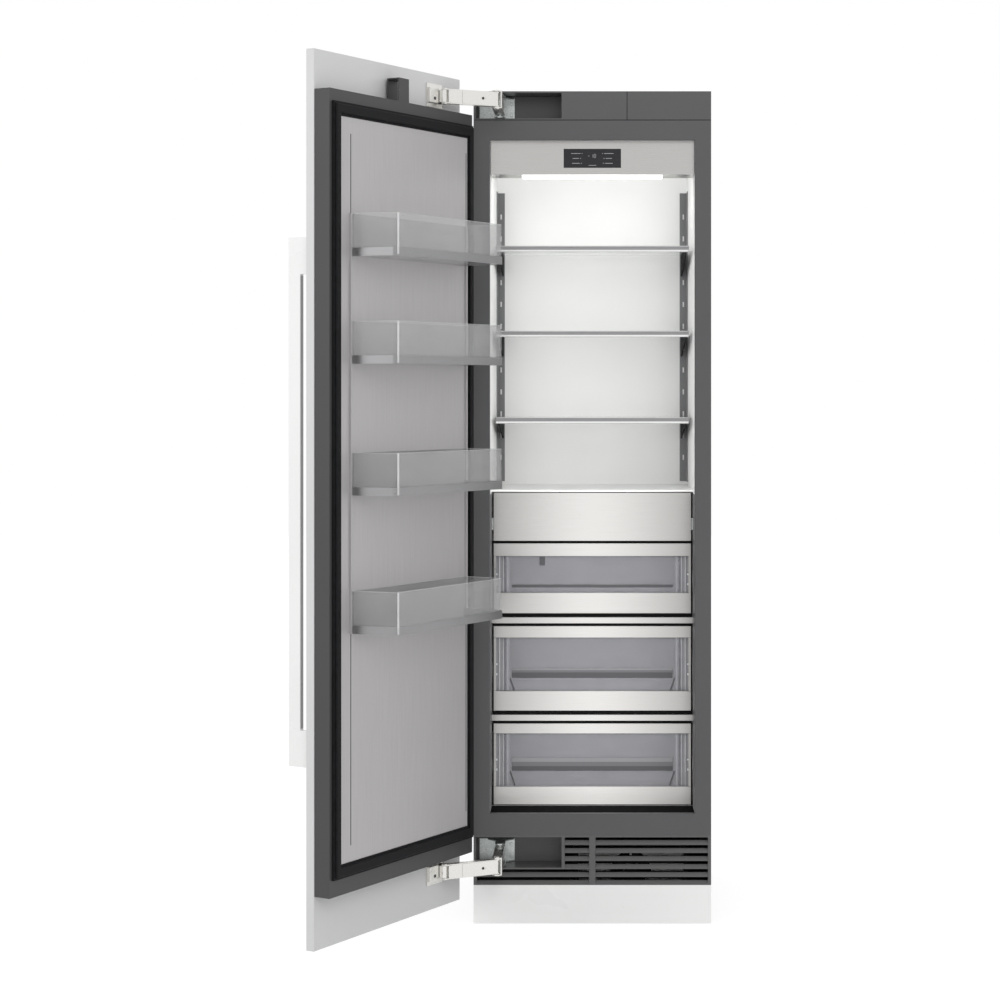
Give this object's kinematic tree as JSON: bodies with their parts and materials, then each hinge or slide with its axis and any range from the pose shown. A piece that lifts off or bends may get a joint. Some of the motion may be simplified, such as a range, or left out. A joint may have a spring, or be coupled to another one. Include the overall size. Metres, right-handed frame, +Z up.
{
  "type": "built-in freezer",
  "caption": "Tall panel-fronted built-in freezer column, its door swung open on folding hinges, with shelves, pull-out drawers, an ice drawer and door bins.",
  "frame": {"origin": "on the floor, at the middle of the cabinet's front face", "axes": "+X to the right, +Y into the cabinet, +Z up"},
  "size_m": [0.9981, 1.2341, 2.13],
  "materials": {
    "frame_grey": "satin dark grey",
    "fascia_grey": "satin dark grey paint",
    "vent_grey": "light grey paint",
    "foam": "cast foam",
    "interior_white": "white, satin",
    "panel_white": "white lacquer",
    "kick_white": "white paint",
    "handle_white": "white lacquer",
    "zinc": "zinc plated",
    "arm_nickel": "satin nickel plated",
    "brushed_steel": "brushed",
    "display_black": "gloss black",
    "light_diffuser": "opal",
    "black_steel": "black powder coat",
    "track_steel": "white paint",
    "shelf_glass": "clear toughened",
    "bin_clear": "clear",
    "tub_clear": "smoky clear",
    "rubber_black": "matt black",
    "roller_grey": "dark grey",
    "coil_aluminium": "bare",
    "brass": "bare"
  },
  "bodies": {
    "cabinet": {"outer_case": "fascia_grey", "insulation": "foam", "liner": "interior_white", "face_frame": "frame_grey", "top_fascia": "fascia_grey", "vent_grille": "vent_grey", "toe_kick": "kick_white", "base_pan": "zinc", "front_feet": "zinc", "water_inlet": "brass", "compressor": "black_steel", "condenser": "coil_aluminium", "fan_shroud": "interior_white", "evaporator": "coil_aluminium", "duct_panel": "interior_white", "control_header": "brushed_steel", "display": "display_black", "light_panel": "light_diffuser", "shelf_tracks": "track_steel", "shelf_glass_1": "shelf_glass", "shelf_glass_2": "shelf_glass", "shelf_glass_3": "shelf_glass", "shelf_trims": "brushed_steel", "shelf_brackets": "black_steel", "ice_deck": "interior_white", "cross_rails": "brushed_steel", "ice_maker": "roller_grey", "slide_rails": "zinc", "hinge_brackets": "zinc"},
    "rollers": {"rear_rollers": "roller_grey"},
    "condenser_fan": {"condenser_fan": "roller_grey"},
    "evaporator_fan": {"evaporator_fan": "roller_grey"},
    "upper_inner_arm": {"upper_inner_arm": "arm_nickel"},
    "upper_outer_arm": {"upper_outer_arm": "arm_nickel"},
    "lower_inner_arm": {"lower_inner_arm": "arm_nickel"},
    "lower_outer_arm": {"lower_outer_arm": "arm_nickel"},
    "door": {"overlay_panel": "panel_white", "door_pan": "fascia_grey", "door_insulation": "foam", "door_liner": "brushed_steel", "gasket": "rubber_black", "handle": "handle_white", "door_hinge_plates": "zinc", "door_bin_1": "bin_clear", "door_bin_2": "bin_clear", "door_bin_3": "bin_clear", "door_bin_4": "bin_clear", "bin_trims": "brushed_steel"},
    "drawer_1": {"drawer_1_front": "brushed_steel", "drawer_1_tub": "tub_clear"},
    "drawer_1_slides": {"drawer_1_slides": "zinc"},
    "drawer_2": {"drawer_2_front": "brushed_steel", "drawer_2_tub": "tub_clear"},
    "drawer_2_slides": {"drawer_2_slides": "zinc"},
    "drawer_3": {"drawer_3_front": "brushed_steel", "drawer_3_tub": "tub_clear"},
    "drawer_3_slides": {"drawer_3_slides": "zinc"},
    "ice_drawer": {"ice_drawer_front": "brushed_steel", "ice_drawer_tub": "tub_clear"},
    "ice_drawer_slides": {"ice_drawer_slides": "zinc"}
  },
  "joints": [
    {"name": "door_swing", "type": "hinge", "parent": "cabinet", "child": "upper_inner_arm", "pos_m": [-0.235, 0.025, 2.0765], "axis": [0, 0, -1], "range_deg": [-106.81, 0]},
    {"name": "upper_elbow", "type": "hinge", "parent": "upper_inner_arm", "child": "upper_outer_arm", "pos_m": [-0.23677, -0.11499, 2.0765], "axis": [0, 0, -1], "range_deg": [0, 89.73]},
    {"name": "door_turn", "type": "hinge", "parent": "upper_outer_arm", "child": "door", "pos_m": [-0.36298, -0.18007, 2.0765], "axis": [0, 0, -1], "range_deg": [-102.92, 0]},
    {"name": "lower_swing", "type": "hinge", "parent": "cabinet", "child": "lower_inner_arm", "pos_m": [-0.235, 0.025, 0.172], "axis": [0, 0, -1], "range_deg": [-106.81, 0]},
    {"name": "lower_elbow", "type": "hinge", "parent": "lower_inner_arm", "child": "lower_outer_arm", "pos_m": [-0.23677, -0.11499, 0.172], "axis": [0, 0, -1], "range_deg": [0, 89.73]},
    {"name": "drawer_1_slide", "type": "slide", "parent": "cabinet", "child": "drawer_1", "axis": [0, -1, 0], "range_m": [0, 0.28]},
    {"name": "drawer_1_slides_travel", "type": "slide", "parent": "cabinet", "child": "drawer_1_slides", "axis": [0, -1, 0], "range_m": [0, 0.14001]},
    {"name": "drawer_2_slide", "type": "slide", "parent": "cabinet", "child": "drawer_2", "axis": [0, -1, 0], "range_m": [0, 0.28]},
    {"name": "drawer_2_slides_travel", "type": "slide", "parent": "cabinet", "child": "drawer_2_slides", "axis": [0, -1, 0], "range_m": [0, 0.14001]},
    {"name": "drawer_3_slide", "type": "slide", "parent": "cabinet", "child": "drawer_3", "axis": [0, -1, 0], "range_m": [0, 0.28]},
    {"name": "drawer_3_slides_travel", "type": "slide", "parent": "cabinet", "child": "drawer_3_slides", "axis": [0, -1, 0], "range_m": [0, 0.14001]},
    {"name": "ice_drawer_slide", "type": "slide", "parent": "cabinet", "child": "ice_drawer", "axis": [0, -1, 0], "range_m": [0, 0.28]},
    {"name": "ice_drawer_slides_travel", "type": "slide", "parent": "cabinet", "child": "ice_drawer_slides", "axis": [0, -1, 0], "range_m": [0, 0.14001]},
    {"name": "rollers_spin", "type": "hinge", "parent": "cabinet", "child": "rollers", "pos_m": [0, 0.56, 0.018], "axis": [1, 0, 0], "continuous": true},
    {"name": "condenser_fan_spin", "type": "hinge", "parent": "cabinet", "child": "condenser_fan", "pos_m": [0.1, 0.148, 0.107], "axis": [0, 1, 0], "continuous": true},
    {"name": "evaporator_fan_spin", "type": "hinge", "parent": "cabinet", "child": "evaporator_fan", "pos_m": [0, 0.5, 0.62], "axis": [0, 1, 0], "continuous": true}
  ],
  "couplings": [
    {"joint": "upper_elbow", "follows": "door_swing", "ratio": -0.84005},
    {"joint": "door_turn", "follows": "door_swing", "ratio": 0.96356},
    {"joint": "lower_swing", "follows": "door_swing", "ratio": 1},
    {"joint": "lower_elbow", "follows": "door_swing", "ratio": -0.84005},
    {"joint": "drawer_1_slides_travel", "follows": "drawer_1_slide", "ratio": 0.5},
    {"joint": "drawer_2_slides_travel", "follows": "drawer_2_slide", "ratio": 0.5},
    {"joint": "drawer_3_slides_travel", "follows": "drawer_3_slide", "ratio": 0.5},
    {"joint": "ice_drawer_slides_travel", "follows": "ice_drawer_slide", "ratio": 0.5}
  ]
}
